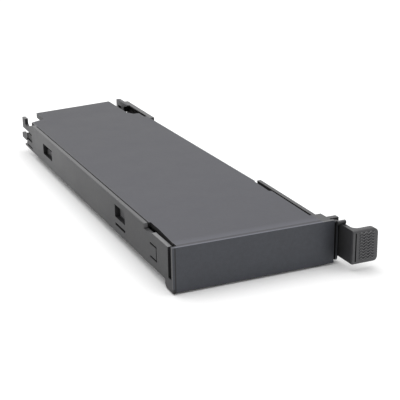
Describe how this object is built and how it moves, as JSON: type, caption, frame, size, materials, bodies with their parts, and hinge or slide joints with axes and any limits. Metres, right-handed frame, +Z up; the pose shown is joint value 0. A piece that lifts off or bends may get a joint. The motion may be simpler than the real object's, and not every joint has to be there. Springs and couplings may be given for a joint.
{
  "type": "switch slot blank panel",
  "caption": "Long open-bottomed plastic blank that closes an empty switch bay, with a flat front face, side spring arms, hooked rear ends and a finger lever.",
  "frame": {"origin": "centre of the bounding box's footprint, at the height of the face's bottom edge", "axes": "+X to the right seen from the front, +Y from the front face to the rear hooks, +Z up through the top plate"},
  "size_m": [0.1364, 0.4182, 0.0308],
  "materials": {
    "shell": "fine matte grain, dark grey"
  },
  "bodies": {
    "root": {"slot_blank": "shell"}
  },
  "joints": []
}
